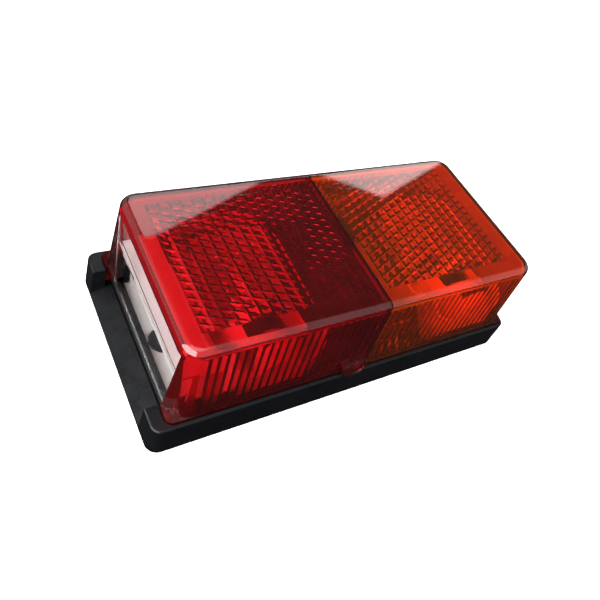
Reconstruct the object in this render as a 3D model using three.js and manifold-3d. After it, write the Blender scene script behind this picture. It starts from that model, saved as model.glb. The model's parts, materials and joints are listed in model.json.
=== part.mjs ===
// Trailer tail light: a flat-backed lamp with a red stop and tail half, an amber indicator half and a clear
// number-plate window in one end. Millimetres, +Z up. The origin is the centre of the flat back.
import * as THREE from 'three';
import { mergeVertices } from 'three/addons/utils/BufferGeometryUtils.js';
import Module from 'manifold-3d';

const wasm = await Module();
wasm.setup();

// ---------------------------------------------------------------- driving dimensions

const LENGTH = 180;
const WIDTH = 87.5;
const GAP = 0.3; // clearance between neighbouring pieces
const REACH = 200; // how far a cutting block goes past the lamp

const BASE = { height: 14.7, corner: 5, draft: 0.85, floor: 2.4, wallTop: 1.55 };
const UPSTAND = { thickness: 1.8, height: 16.4, windowHeight: 7.8 }; // inner wall, lower behind the window
const EAR = { inner: 32 }; // the end wall stands at full height beyond this |y|
const LEDGE = { outerZ: 2, innerZ: 4.9, innerX: -81.2 }; // sloping end below the window

const LENS = {
  x0: -80.5, x1: 84.2, y: 37.8, top: 52.3, cornerTop: 7, cornerFoot: 10.5,
  flare: 3.2, edge: 3.35, wall: 2.4, footZ: 7.2, skirtTop: 16, skirtCorner: 3.3,
};
const JOINT_X = 2.2; // where the red and amber halves meet
const FLUTE = { pitch: 3.3, depth: 0.8, count: 46, x0: -73.9, z0: 17.5, z1: 47.5 };
const TAB = { x: -4, radius: 6.6, bottom: 12.4, top: 20, proud: 1.4 }; // snap tab on each long side
const WINDOW = {
  halfWidth: 33, top: 47.7, x: -80, thickness: 2, jamb: 2.2, ribs: [30.4, 32, 33.6], ribDepth: 0.6,
};
const GASKET = { top: 6.9 };
const PARTITION = {
  x0: -1.8, x1: 1, top: 49.3, halfTop: 34.6, halfBottom: 36.1, corner: 2.2,
  notch: [-35.6, -25.8], notchTop: 7,
};

const AXIS_Z = 21; // height of both bulb axes; the bulbs lie across the lamp and point to +Y
const MOUTH_Y = -8; // front of each bulb's cap
const TAIL_X = -39.5;
const INDICATOR_X = 61.5;
const BULB = {
  glassRadius: 13.25, glassLength: 30.3, neck: 6.6, glassWall: 0.6, capRadius: 7.5, capLength: 15,
};
const BAYONET = { pinRadius: 1, pinTip: 8.8, pinX: -9.5, offset: 2, push: 2, turn: 20 };
const SHELL = { inner: 7.8, outer: 8.4, x0: -22, x1: -3.5, flange: 9 };
const HOLDER = {
  x0: -27.5, x1: -5, half: 10.5, bore: 9.2, backWall: 2,
  footHalf: 15, foot: 3, footX0: -18, footX1: -9,
};
const CARRIER = { x0: -20.5, x1: -18, radius: 7.5 };
const SPRING = { radius: 5.2, wire: 0.45, turns: 3.5, stepsPerTurn: 12 };
const INSERT = { halfX: 20.8, halfY: 34, corner: 12, rim: 23, wall: 1.5, apronX: -74.9, apronY: 32 };
// The roof that an insert has over its bulb holder.
const HOOD = { gap: 0.5, wall: 1.2, holeHalf: 8.5, holeY: [-25, -17], endWall: 0.7 };
// The shelf that throws light down out of the window.
const SHELF = { x0: -77, x1: -65, z: 30, thickness: 1.2, legX: -72 };
const BOWL = [
  { inset: 13.5, z: 5, corner: 4 },
  { inset: 7.2, z: 11, corner: 8 },
  { inset: 1.5, z: 23, corner: 10.5 },
];

const SCREW = { shank: 1.1, head: 1.9, headHeight: 1.8, end: 1, x: -13.5, y: 12.8 };
const MOUNT_HOLES = { radius: 3.2, xs: [-68, 32], boss: 6, bossTop: 4.6 };
const GROMMET = { x: 18, y: 14, hole: 4.8, bore: 3.3, flange: 5.6, top: 5.2 };
const TERMINAL = {
  x0: 10, x1: 32, y0: -21, y1: -11, top: 13, pitch: 4.4, first: 12.2, screw: 1.5, wireZ: 5.2,
};
const WIRE = { radius: 1, hole: 1.4, floorZ: 4.2, intoHolder: 3 };

// ---------------------------------------------------------------- shape helpers

const box = (x0, x1, y0, y1, z0, z1) =>
  new THREE.BoxGeometry(x1 - x0, y1 - y0, z1 - z0).translate((x0 + x1) / 2, (y0 + y1) / 2, (z0 + z1) / 2);

// A rounded rectangle from x0 to x1 and from -y to +y.
function roundedRect({ x0, x1, y, r }) {
  const shape = new THREE.Shape();
  shape.absarc(x1 - r, y - r, r, 0, Math.PI / 2);
  shape.absarc(x0 + r, y - r, r, Math.PI / 2, Math.PI);
  shape.absarc(x0 + r, -y + r, r, Math.PI, 1.5 * Math.PI);
  shape.absarc(x1 - r, -y + r, r, 1.5 * Math.PI, 2 * Math.PI);
  shape.closePath();
  return shape;
}

// The same rectangle with every side moved in by d.
const inset = ({ x0, x1, y, r }, d, corner = Math.max(r - d, 0.4)) => (
  { x0: x0 + d, x1: x1 - d, y: y - d, r: corner }
);

const prism = (shape, z0, z1) => {
  const settings = { depth: z1 - z0, bevelEnabled: false, curveSegments: 3 };
  return new THREE.ExtrudeGeometry(shape, settings).translate(0, 0, z0);
};

// A shape drawn in (y, z), extruded along x.
const beam = (shape, x0, x1) => {
  const settings = { depth: x1 - x0, bevelEnabled: false, curveSegments: 6 };
  const geometry = new THREE.ExtrudeGeometry(shape, settings);
  return geometry.rotateX(Math.PI / 2).rotateZ(Math.PI / 2).translate(x0, 0, 0);
};

const polygon = (points) => new THREE.Shape(points.map(([x, y]) => new THREE.Vector2(x, y)));

// A closed solid through outlines that have the same number of points, lowest first.
function loft(sections) {
  const count = sections[0].outline.length;
  const position = sections.flatMap(({ outline, z }) => outline.flatMap((p) => [p.x, p.y, z]));
  const cap = THREE.ShapeUtils.triangulateShape(sections[0].outline, []);
  const last = (sections.length - 1) * count;
  const index = cap.flatMap(([a, b, c]) => [a, c, b, last + a, last + b, last + c]);
  for (let s = 0; s < sections.length - 1; s++) {
    for (let i = 0; i < count; i++) {
      const a = s * count + i;
      const b = s * count + ((i + 1) % count);
      index.push(a, b, b + count, a, b + count, a + count);
    }
  }
  const geometry = new THREE.BufferGeometry();
  geometry.setAttribute('position', new THREE.Float32BufferAttribute(position, 3));
  return geometry.setIndex(index);
}

// The points of a closed outline, without the last one that repeats the first.
function outlineOf(rect) {
  const points = roundedRect(rect).getPoints(3);
  if (points.at(-1).distanceTo(points[0]) < 1e-6) points.pop();
  return points;
}

const lofted = (levels) => loft(levels.map(([rect, z]) => ({ outline: outlineOf(rect), z })));

// Turned shapes: points are [radius, distance along the axis].
const latheY = (points, segments) =>
  new THREE.LatheGeometry(points.map(([r, h]) => new THREE.Vector2(r, h)), segments);
const turnedZ = (points, segments = 20) => latheY(points, segments).rotateX(Math.PI / 2);
const turnedX = (points, segments = 18) => latheY(points, segments).rotateZ(-Math.PI / 2);
const rodOutline = (radius, from, to) => [[0, from], [radius, from], [radius, to], [0, to]];
const rodX = (radius, x0, x1, segments = 8) => turnedX(rodOutline(radius, x0, x1), segments);
const rodY = (radius, y0, y1, segments = 8) => latheY(rodOutline(radius, y0, y1), segments);
const rodZ = (radius, z0, z1, segments = 12) => turnedZ(rodOutline(radius, z0, z1), segments);

const ordered = (a, b) => [Math.min(a, b), Math.max(a, b)];

// A curve whose steps fall evenly between its points, not along its length, so that tight bends
// keep their shape.
class PointPath extends THREE.CatmullRomCurve3 {
  getSpacedPoints(divisions) {
    return this.getPoints(divisions);
  }

  getTangentAt(u, target) {
    return this.getTangent(u, target);
  }
}

// A round wire through a list of [x, y, z] points.
function wireThrough(points, radius, steps, sides = 6) {
  const path = new PointPath(points.map((p) => new THREE.Vector3(...p)), false, 'centripetal');
  const ring = new THREE.Shape();
  ring.absarc(0, 0, radius, 0, 2 * Math.PI);
  const settings = { steps, extrudePath: path, bevelEnabled: false, curveSegments: sides / 2 };
  return new THREE.ExtrudeGeometry(ring, settings);
}

function signedVolume(position, index) {
  const [a, b, c] = [new THREE.Vector3(), new THREE.Vector3(), new THREE.Vector3()];
  let volume = 0;
  for (let i = 0; i < index.length; i += 3) {
    a.fromBufferAttribute(position, index[i]);
    b.fromBufferAttribute(position, index[i + 1]);
    c.fromBufferAttribute(position, index[i + 2]);
    volume += a.dot(b.cross(c)) / 6;
  }
  return volume;
}

// Merges shared points, drops triangles that have shrunk to a line and turns all faces outwards.
function closed(geometry) {
  const bare = new THREE.BufferGeometry();
  bare.setAttribute('position', geometry.getAttribute('position').clone());
  if (geometry.index) bare.setIndex(geometry.index.clone());
  const merged = mergeVertices(bare, 1e-4);
  const index = [];
  for (let i = 0; i < merged.index.count; i += 3) {
    const [a, b, c] = [0, 1, 2].map((k) => merged.index.getX(i + k));
    if (a !== b && b !== c && c !== a) index.push(a, b, c);
  }
  if (signedVolume(merged.getAttribute('position'), index) < 0) index.reverse();
  return merged.setIndex(index);
}

function solid(geometry) {
  const shape = closed(geometry);
  const vertProperties = new Float32Array(shape.getAttribute('position').array);
  const triVerts = new Uint32Array(shape.index.array);
  return new wasm.Manifold(new wasm.Mesh({ numProp: 3, vertProperties, triVerts }));
}

const joined = (first, ...others) => others.reduce((whole, other) => whole.add(solid(other)), first);
const cut = (first, ...tools) => tools.reduce((whole, tool) => whole.subtract(solid(tool)), first);

function geometryOf(manifold) {
  const { vertProperties, triVerts } = manifold.getMesh();
  const geometry = new THREE.BufferGeometry();
  geometry.setAttribute('position', new THREE.BufferAttribute(new Float32Array(vertProperties), 3));
  return geometry.setIndex(new THREE.BufferAttribute(new Uint32Array(triVerts), 1));
}

// ---------------------------------------------------------------- materials

const plastic = (color, roughness) => new THREE.MeshStandardMaterial({ color, roughness, metalness: 0 });
const metal = (color, roughness) => new THREE.MeshStandardMaterial({ color, roughness, metalness: 1 });
const clear = (color, opacity) =>
  new THREE.MeshStandardMaterial({ color, roughness: 0.06, metalness: 0, transparent: true, opacity });

const BLACK = plastic(0x15171a, 0.42);
const RUBBER = plastic(0x0e0e0f, 0.85);
const BAKELITE = plastic(0x2a1a12, 0.5);
const RED = clear(0xb50d14, 0.75);
const AMBER = clear(0xe85a0c, 0.75);
const CLEAR = clear(0xf4f6f6, 0.3);
const GLASS = clear(0xffffff, 0.2);
const WHITE = plastic(0xe9e9e6, 0.35);
const BRASS = metal(0xb08a3c, 0.3);
const ZINC = metal(0xa9adb0, 0.38);
const SOLDER = metal(0x8d9194, 0.45);
const TUNGSTEN = metal(0x6b6e72, 0.5);

const lamp = new THREE.Group();

function place(parent, name, shape, material) {
  const geometry = shape.getMesh ? geometryOf(shape) : closed(shape);
  const mesh = new THREE.Mesh(geometry, material);
  mesh.name = name;
  parent.add(mesh);
}

// ---------------------------------------------------------------- outlines that several pieces share

const backOutline = { x0: -LENGTH / 2, x1: LENGTH / 2, y: WIDTH / 2, r: BASE.corner };
const rimOutline = inset(backOutline, BASE.draft, BASE.corner);
const lensTop = { x0: LENS.x0, x1: LENS.x1, y: LENS.y, r: LENS.cornerTop };
const lensFoot = inset(lensTop, -LENS.flare, LENS.cornerFoot);
const skirtOutline = inset(lensFoot, 0, LENS.skirtCorner);
const pocketOutline = inset(skirtOutline, -GAP);
const lensInside = inset(lensFoot, LENS.wall);
const upstandOutline = {
  ...inset(lensInside, GAP),
  x0: WINDOW.x + WINDOW.thickness + WINDOW.ribDepth + GAP,
};
const roomOutline = inset(upstandOutline, UPSTAND.thickness);

// Half-width of the lens inside at height z.
const flareAt = (z) => LENS.flare * (1 - (z - BASE.height) / (LENS.top - LENS.edge - BASE.height));

// ---------------------------------------------------------------- base and seal

function tabShape(radius) {
  const shape = new THREE.Shape();
  const centre = TAB.bottom + TAB.radius;
  shape.absarc(TAB.x, centre, radius, Math.PI, 2 * Math.PI);
  shape.lineTo(TAB.x + radius, TAB.top);
  shape.lineTo(TAB.x - radius, TAB.top);
  shape.closePath();
  return shape;
}

// A shape drawn in (x, z), extruded along y.
const slabY = (shape, y0, y1) =>
  new THREE.ExtrudeGeometry(shape, { depth: y1 - y0, bevelEnabled: false, curveSegments: 6 })
    .rotateX(Math.PI / 2)
    .translate(0, y1, 0);

function baseHousing() {
  const { height, floor } = BASE;
  let base = solid(lofted([[backOutline, 0], [rimOutline, height]]));
  base = cut(base, prism(roundedRect(pocketOutline), floor, REACH));
  base = cut(base, box(-REACH, LEDGE.innerX, -EAR.inner, EAR.inner, -1, REACH));
  const ledge = polygon([
    [-LENGTH / 2, 0], [LEDGE.innerX + 1, 0], [LEDGE.innerX + 1, floor], [LEDGE.innerX, floor],
    [LEDGE.innerX, LEDGE.innerZ], [-LENGTH / 2, LEDGE.outerZ],
  ]);
  base = joined(base, slabY(ledge, -EAR.inner, EAR.inner));
  const upstand = cut(
    solid(prism(roundedRect(upstandOutline), floor - 1, UPSTAND.height)),
    prism(roundedRect(roomOutline), -1, REACH),
  );
  const lightGap = box(-REACH, roomOutline.x0 + 1, -EAR.inner, EAR.inner, UPSTAND.windowHeight, REACH);
  base = base.add(cut(upstand, lightGap));
  for (const side of [-1, 1]) {
    const through = ordered(side * (pocketOutline.y - 1), side * REACH);
    base = cut(base, slabY(tabShape(TAB.radius + GAP), ...through));
  }
  for (const x of MOUNT_HOLES.xs) {
    base = joined(base, rodZ(MOUNT_HOLES.boss, floor - 1, MOUNT_HOLES.bossTop).translate(x, 0, 0));
    base = cut(base, rodZ(MOUNT_HOLES.radius, -1, REACH).translate(x, 0, 0));
  }
  base = cut(base, rodZ(GROMMET.hole, -1, floor + 1, 16).translate(GROMMET.x, GROMMET.y, 0));
  for (const [x, y] of screwPlaces()) {
    base = cut(base, rodZ(SCREW.shank + GAP, SCREW.end - GAP, REACH, 8).translate(x, y, 0));
  }
  return base;
}

// Where the four holder screws stand: one on each side of each bulb holder.
function screwPlaces() {
  const y = MOUTH_Y + SCREW.x;
  return [TAIL_X, INDICATOR_X].flatMap((x) => [[x - SCREW.y, y], [x + SCREW.y, y]]);
}

function gasket() {
  const outer = { ...inset(pocketOutline, GAP), x0: WINDOW.x - GAP };
  const ring = solid(prism(roundedRect(outer), BASE.floor + GAP, GASKET.top));
  return cut(ring, prism(roundedRect(inset(upstandOutline, -GAP)), -1, REACH));
}

// ---------------------------------------------------------------- lens

// The outside of the flared wall and the rounded top edge.
function lensOutside() {
  const levels = [[lensFoot, BASE.height]];
  for (const degrees of [0, 30, 60, 90]) {
    const angle = THREE.MathUtils.degToRad(degrees);
    const d = LENS.edge * (1 - Math.cos(angle));
    levels.push([inset(lensTop, d), LENS.top - LENS.edge * (1 - Math.sin(angle))]);
  }
  const skirt = prism(roundedRect(skirtOutline), LENS.footZ, LENS.skirtTop);
  return joined(solid(lofted(levels)), skirt);
}

// The hollow inside the lens, as a solid to cut away.
function lensHollow() {
  const bend = LENS.edge - LENS.wall + 1;
  const plain = lofted([
    [lensInside, -1],
    [lensInside, BASE.height],
    [inset(lensTop, LENS.wall), LENS.top - LENS.wall - bend],
    [inset(lensTop, LENS.wall + bend), LENS.top - LENS.wall],
  ]);
  return joined(solid(plain), fluteBand());
}

// The band of upright V grooves inside the long walls.
function fluteBand() {
  const rings = [FLUTE.z0, FLUTE.z1].map((z) => {
    const y = LENS.y - LENS.wall + flareAt(z) - 0.05;
    const edge = [];
    for (let i = 0; i <= 2 * FLUTE.count; i++) {
      edge.push(new THREE.Vector2(FLUTE.x0 + (i * FLUTE.pitch) / 2, -y - (i % 2) * FLUTE.depth));
    }
    const back = edge.map((p) => new THREE.Vector2(p.x, -p.y)).reverse();
    return { outline: [...edge, ...back], z };
  });
  return loft(rings);
}

// The red half: an inverted U frame round the window, a jamb down each side of it and the two snap tabs.
function redLens(outside, hollow) {
  let red = outside.subtract(hollow);
  red = cut(red, box(-REACH, WINDOW.x + 10, -WINDOW.halfWidth, WINDOW.halfWidth, -REACH, WINDOW.top));
  for (const side of [-1, 1]) {
    const jambY = ordered(side * WINDOW.halfWidth, side * (WINDOW.halfWidth + WINDOW.jamb));
    const jambZ = [LENS.footZ, LENS.top - LENS.wall];
    const jamb = solid(box(-REACH, WINDOW.x + WINDOW.thickness, ...jambY, ...jambZ));
    red = red.add(outside.intersect(jamb));
    const tabY = ordered(side * (lensFoot.y - LENS.wall), side * (lensFoot.y + TAB.proud));
    const tab = solid(slabY(tabShape(TAB.radius), ...tabY)).subtract(hollow);
    red = red.add(tab);
  }
  return cut(red, box(JOINT_X - GAP / 2, REACH, -REACH, REACH, -REACH, REACH));
}

const amberLens = (outside, hollow) =>
  cut(outside.subtract(hollow), box(-REACH, JOINT_X + GAP / 2, -REACH, REACH, -REACH, REACH));

// A flat clear pane with thin ribs across its inner face.
function plateWindow() {
  const inner = WINDOW.x + WINDOW.thickness;
  const outline = [[WINDOW.x, LENS.footZ], [inner, LENS.footZ]];
  for (const z of WINDOW.ribs) {
    outline.push([inner, z - WINDOW.ribDepth], [inner + WINDOW.ribDepth, z], [inner, z + WINDOW.ribDepth]);
  }
  outline.push([inner, WINDOW.top - GAP], [WINDOW.x, WINDOW.top - GAP]);
  return slabY(polygon(outline), -WINDOW.halfWidth + GAP, WINDOW.halfWidth - GAP);
}

// ---------------------------------------------------------------- inside the lens

// An upright plate between the two bays, with a corner notch for the wires.
function partition() {
  const { x0, x1, top, halfTop, halfBottom, corner, notch, notchTop } = PARTITION;
  const foot = BASE.floor + GAP;
  const outline = [
    [-halfBottom, foot], [halfBottom, foot], [halfTop, top - corner], [halfTop - corner, top],
    [corner - halfTop, top], [-halfTop, top - corner],
  ];
  return cut(solid(beam(polygon(outline), x0, x1)), box(-REACH, REACH, ...notch, -1, notchTop));
}

const floorUnderAxis = BASE.floor + GAP - AXIS_Z;

// The arch of a bulb holder, made wider by d, in (y, z) about the bulb axis.
function holderArch(d = 0) {
  const arch = new THREE.Shape();
  arch.moveTo(-HOLDER.half - d, floorUnderAxis);
  arch.lineTo(HOLDER.half + d, floorUnderAxis);
  arch.absarc(0, 0, HOLDER.half + d, 0, Math.PI);
  arch.closePath();
  return arch;
}

// A roof over the bulb holder, with a hole in its top and a back above the base's inner wall. It is drawn
// along its own x, then turned to +Y.
function hood(x) {
  const turn = (geometry) => geometry.rotateZ(Math.PI / 2).translate(x, MOUTH_Y, AXIS_Z);
  const back = HOLDER.x0 - GAP;
  const front = HOLDER.x1 + 1;
  const roof = solid(turn(beam(holderArch(HOOD.gap + HOOD.wall), back - HOOD.endWall, front)));
  const inside = turn(beam(holderArch(HOOD.gap), back, front + 1));
  const aboveUpstand = UPSTAND.height + 2 * GAP;
  const behind = box(-REACH, REACH, -REACH, MOUTH_Y + HOLDER.x0, -1, aboveUpstand);
  const hole = box(x - HOOD.holeHalf, x + HOOD.holeHalf, ...HOOD.holeY, AXIS_Z, REACH);
  return cut(roof, inside, behind, hole);
}

// The tail half's apron on the floor up to the window, and a shelf across the window on two legs.
function apronAndShelf(plan) {
  const { apronX, apronY, wall } = INSERT;
  const { x0, x1, z, thickness, legX } = SHELF;
  const foot = BASE.floor + GAP;
  let piece = solid(box(apronX, plan.x0 + 1, -apronY, apronY, foot, foot + wall));
  piece = joined(piece, box(x0, x1, -apronY, apronY, z, z + thickness));
  for (const side of [-1, 1]) {
    const legY = ordered(side * (apronY - GAP), side * (apronY - GAP - thickness));
    piece = joined(piece, box(legX, x1 - GAP, ...legY, foot + wall / 2, z + thickness / 2));
  }
  return cut(piece, rodZ(MOUNT_HOLES.boss + GAP, -1, foot + wall + 1).translate(MOUNT_HOLES.xs[0], 0, 0));
}

// A moulded white bowl that stands on a skirt round one bulb, with a slot for the bulb holder and its
// foot, a hood over that slot and gaps in the skirt for the wires.
function reflectorInsert(x, hasShelf) {
  const { halfX, halfY, corner, rim, wall } = INSERT;
  const plan = { x0: x - halfX, x1: x + halfX, y: halfY, r: corner };
  const foot = BASE.floor + GAP;
  const bowl = BOWL.map((level) => [inset(plan, level.inset, level.corner), level.z]);
  const underside = bowl.map(([rect, z]) => [inset(rect, -wall, rect.r + wall), z - wall]);
  const room = solid(prism(roundedRect(inset(plan, wall)), foot - 1, rim - 2 * wall));
  const bowlBody = solid(lofted([[underside[0][0], foot], ...underside]));
  let insert = solid(prism(roundedRect(plan), foot, rim)).subtract(room.subtract(bowlBody));
  insert = cut(insert, lofted([...bowl, [bowl.at(-1)[0], rim + 1]]));
  if (hasShelf) insert = insert.add(apronAndShelf(plan));
  const holderY = [-REACH, MOUTH_Y + HOLDER.x1 + 1];
  const slotHalf = HOLDER.half + HOOD.gap + HOOD.wall / 2;
  const footHalf = HOLDER.footHalf + 0.4;
  const screwTop = foot + HOLDER.foot + SCREW.headHeight + 0.8;
  const slot = box(x - slotHalf, x + slotHalf, ...holderY, -1, REACH);
  const footSlot = box(x - footHalf, x + footHalf, ...holderY, -1, screwTop);
  insert = cut(insert, slot).add(hood(x));
  return cut(insert, footSlot, box(-REACH, REACH, ...PARTITION.notch, -1, PARTITION.notchTop));
}

// A moulded block with an arched top, a bore for the metal socket and a foot plate. wireSide is the
// side, +1 or -1 along its own y, on which the wires enter, at the given places along its own x.
function holder(wireSide, wireXs) {
  let block = solid(beam(holderArch(), HOLDER.x0, HOLDER.x1));
  const footY = [-HOLDER.footHalf, HOLDER.footHalf];
  const foot = box(HOLDER.footX0, HOLDER.footX1, ...footY, floorUnderAxis, floorUnderAxis + HOLDER.foot);
  block = joined(block, foot);
  block = cut(block, rodX(HOLDER.bore, HOLDER.x0 + HOLDER.backWall, REACH, 18));
  for (const side of [-1, 1]) {
    const hole = rodZ(SCREW.shank + GAP, -REACH, REACH, 8).translate(SCREW.x, side * SCREW.y, 0);
    block = cut(block, hole);
  }
  for (const x of wireXs) {
    const reach = ordered(wireSide * (HOLDER.half - WIRE.intoHolder - 0.5), wireSide * REACH);
    block = cut(block, rodY(WIRE.hole, ...reach).translate(x, 0, WIRE.floorZ - AXIS_Z));
  }
  return block;
}

// A metal tube with a flange at its back and, for each bayonet pin, a window that it turns in and a way out.
function socketShell(pinXs) {
  const { inner, outer, x0, x1, flange } = SHELL;
  let shell = solid(turnedX([
    [inner, x0], [flange, x0], [flange, x0 + 0.8], [outer, x0 + 0.8], [outer, x1], [inner, x1], [inner, x0],
  ]));
  pinXs.forEach((pinX, i) => {
    const upright = i * Math.PI;
    const middle = upright + THREE.MathUtils.degToRad(BAYONET.turn / 2);
    const exit = upright + THREE.MathUtils.degToRad(BAYONET.turn);
    const room = BAYONET.pinRadius + GAP;
    const window = box(pinX - BAYONET.push - room, pinX + room, -2.8, 2.8, 6, 11).rotateX(middle);
    const wayOut = box(pinX, x1 + 1, -room - 0.2, room + 0.2, 6, 11).rotateX(exit);
    shell = cut(shell, window, wayOut);
  });
  return shell;
}

// A coil spring along x, wound from its back to its front.
function coilSpring(x0, x1) {
  const points = [];
  const steps = Math.round(SPRING.turns * SPRING.stepsPerTurn);
  for (let i = 0; i <= steps; i++) {
    const angle = (i / SPRING.stepsPerTurn) * 2 * Math.PI;
    const x = THREE.MathUtils.lerp(x0 + SPRING.wire, x1 - SPRING.wire, i / steps);
    points.push([x, SPRING.radius * Math.cos(angle), SPRING.radius * Math.sin(angle)]);
  }
  return wireThrough(points, SPRING.wire, steps, 4);
}

// Places of the contacts across the bulb's base: one in the middle, or one on each side.
const contactPlaces = (count) => (count === 1 ? [0] : [-3.2, 3.2]);

const CAP_BACK = -BULB.capLength;
const INSULATOR = { radius: 6.2, depth: 1.6 };
const NUB = { radius: 1.4, height: 0.6 };
const STUD = { radius: 1.3, proud: 0.4 };
const nubTip = CAP_BACK - INSULATOR.depth - NUB.height;

// The brass cap: a cup that the glass neck sits in, with two bayonet pins on its side.
function bulbCap(pinXs) {
  const { capRadius, neck } = BULB;
  let cap = solid(turnedX([
    [0, CAP_BACK], [capRadius - 0.8, CAP_BACK], [capRadius, CAP_BACK + 0.8], [capRadius, 0],
    [neck + GAP, 0], [neck + GAP, -5], [0, -5],
  ]));
  pinXs.forEach((pinX, i) => {
    const pin = rodZ(BAYONET.pinRadius, 5, BAYONET.pinTip, 8).translate(pinX, 0, 0);
    cap = joined(cap, pin.rotateX(i * Math.PI));
  });
  return cap;
}

// A thin envelope that is open at its neck, down inside the cap.
function bulbGlass() {
  const { glassRadius: R, glassLength: L, neck, glassWall: t } = BULB;
  const ballX = L - R;
  const arc = (radius, degrees) => degrees.map((d) => {
    const angle = THREE.MathUtils.degToRad(d);
    return [radius * Math.cos(angle), ballX + radius * Math.sin(angle)];
  });
  const bend = [-45, -15, 15, 40, 65];
  const outer = [[neck, -4.5], [neck, 1.5], ...arc(R, bend), [0, L]];
  const inner = [[0, L - t], ...arc(R - t, bend).reverse(), [neck - t, 1.5], [neck - t, -4.5]];
  return turnedX([...outer, ...inner, outer[0]]);
}

// The glass foot that carries the filament wires.
const bulbStem = () =>
  turnedX([[0, -4.5], [4.2, -4.5], [4.2, -3.5], [2.2, 1], [2.2, 7], [1.2, 9], [0, 9]], 8);

// Two lead wires and the coil between them, as one wire. It stands at height z, with its coil across y at x.
function filament(x, z, halfSpan) {
  const points = [[9.6, -1.2, z / 3], [x - 3, -halfSpan, z], [x - 0.6, -halfSpan, z]];
  const waves = 4;
  for (let i = 0; i <= 4 * waves; i++) {
    const angle = (i / 4) * 2 * Math.PI;
    const y = THREE.MathUtils.lerp(-halfSpan + 0.6, halfSpan - 0.6, i / (4 * waves));
    points.push([x + 0.55 * Math.sin(angle), y, z + 0.55 * Math.cos(angle)]);
  }
  points.push([x - 0.6, halfSpan, z], [x - 3, halfSpan, z], [9.6, 1.2, z / 3]);
  return wireThrough(points, 0.2, 36, 4);
}

// An insulating disc that slides in the socket, bored for its contact studs.
function contactCarrier(count) {
  let disc = solid(rodX(CARRIER.radius, CARRIER.x0, CARRIER.x1, 18));
  for (const y of contactPlaces(count)) {
    disc = cut(disc, rodX(STUD.radius + 0.2, CARRIER.x0 - 1, CARRIER.x1 + 1).translate(0, y, 0));
  }
  return disc;
}

const contactStud = (y) => rodX(STUD.radius, CARRIER.x0, nubTip - 0.2).translate(0, y, 0);

// One socket with its bulb, drawn along its own +x with the front of the bulb's cap at x = 0, then
// turned to +Y.
function socketAndBulb({ name, axisX, pinXs, wireSide, contacts, filaments }) {
  const group = new THREE.Group();
  group.position.set(axisX, MOUTH_Y, AXIS_Z);
  group.rotation.z = Math.PI / 2;
  lamp.add(group);
  const wireXs = WIRES.filter((wire) => wire.holderX === axisX).map((wire) => wire.lane - MOUTH_Y);
  const spring = coilSpring(HOLDER.x0 + HOLDER.backWall + 0.2, CARRIER.x0 - 0.2);
  place(group, `${name}_holder`, holder(wireSide, wireXs), BLACK);
  place(group, `${name}_socket_shell`, socketShell(pinXs), ZINC);
  place(group, `${name}_contact_spring`, spring, ZINC);
  place(group, `${name}_contact_carrier`, contactCarrier(contacts.length), BAKELITE);
  place(group, `${name}_bulb_cap`, bulbCap(pinXs), BRASS);
  place(group, `${name}_bulb_glass`, bulbGlass(), GLASS);
  place(group, `${name}_bulb_stem`, bulbStem(), GLASS);
  const back = [CAP_BACK - INSULATOR.depth, CAP_BACK - 0.02];
  place(group, `${name}_bulb_insulator`, rodX(INSULATOR.radius, ...back, 12), BAKELITE);
  contactPlaces(contacts.length).forEach((y, i) => {
    const nub = rodX(NUB.radius, nubTip, CAP_BACK - INSULATOR.depth - 0.02).translate(0, y, 0);
    place(group, `${contacts[i]}_solder_point`, nub, SOLDER);
    place(group, `${contacts[i]}_contact_stud`, contactStud(y), BRASS);
  });
  for (const { label, x, z, halfSpan } of filaments) {
    place(group, `${label}_filament`, filament(x, z, halfSpan), TUNGSTEN);
  }
}

// ---------------------------------------------------------------- wiring

// One wire from each clamp of the terminal block. lane is the y that it runs along on the floor to its bulb
// holder. Wires that start nearer their holder take the lane nearer the block, so no two cross.
const WIRES = [
  { name: 'tail', color: 0x4a2d1c, lane: -27.4, holderX: TAIL_X },
  { name: 'stop', color: 0xa3161a, lane: -30.3, holderX: TAIL_X },
  { name: 'tail_earth', color: 0xd9d9d6, lane: -33.2, holderX: TAIL_X },
  { name: 'indicator_earth', color: 0xd9d9d6, lane: -30.3, holderX: INDICATOR_X },
  { name: 'indicator', color: 0x1e6b34, lane: -27.4, holderX: INDICATOR_X },
];

function wire({ lane, holderX }, i) {
  const clampX = TERMINAL.first + i * TERMINAL.pitch;
  const towards = Math.sign(holderX - clampX);
  const points = [
    [clampX, TERMINAL.y0 + 2.4, TERMINAL.wireZ],
    [clampX, TERMINAL.y0 - 0.8, TERMINAL.wireZ],
    [clampX, lane + 3, WIRE.floorZ + 0.4],
    [clampX + towards * 1, lane + 1, WIRE.floorZ + 0.1],
    [clampX + towards * 3, lane, WIRE.floorZ],
    [clampX + towards * 6, lane, WIRE.floorZ],
    [holderX - towards * (HOLDER.half + 2), lane, WIRE.floorZ],
    [holderX - towards * (HOLDER.half - WIRE.intoHolder), lane, WIRE.floorZ],
  ];
  return wireThrough(points, WIRE.radius, 2 * (points.length - 1));
}

function terminalBlock() {
  let block = solid(box(TERMINAL.x0, TERMINAL.x1, TERMINAL.y0, TERMINAL.y1, BASE.floor + GAP, TERMINAL.top));
  for (let i = 0; i < WIRES.length; i++) {
    const x = TERMINAL.first + i * TERMINAL.pitch;
    const y = (TERMINAL.y0 + TERMINAL.y1) / 2;
    block = cut(block, rodZ(TERMINAL.screw + 0.2, TERMINAL.wireZ + 2, REACH, 8).translate(x, y, 0));
    block = cut(block, rodY(WIRE.hole, -REACH, TERMINAL.y0 + 3).translate(x, 0, TERMINAL.wireZ));
  }
  return block;
}

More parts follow.
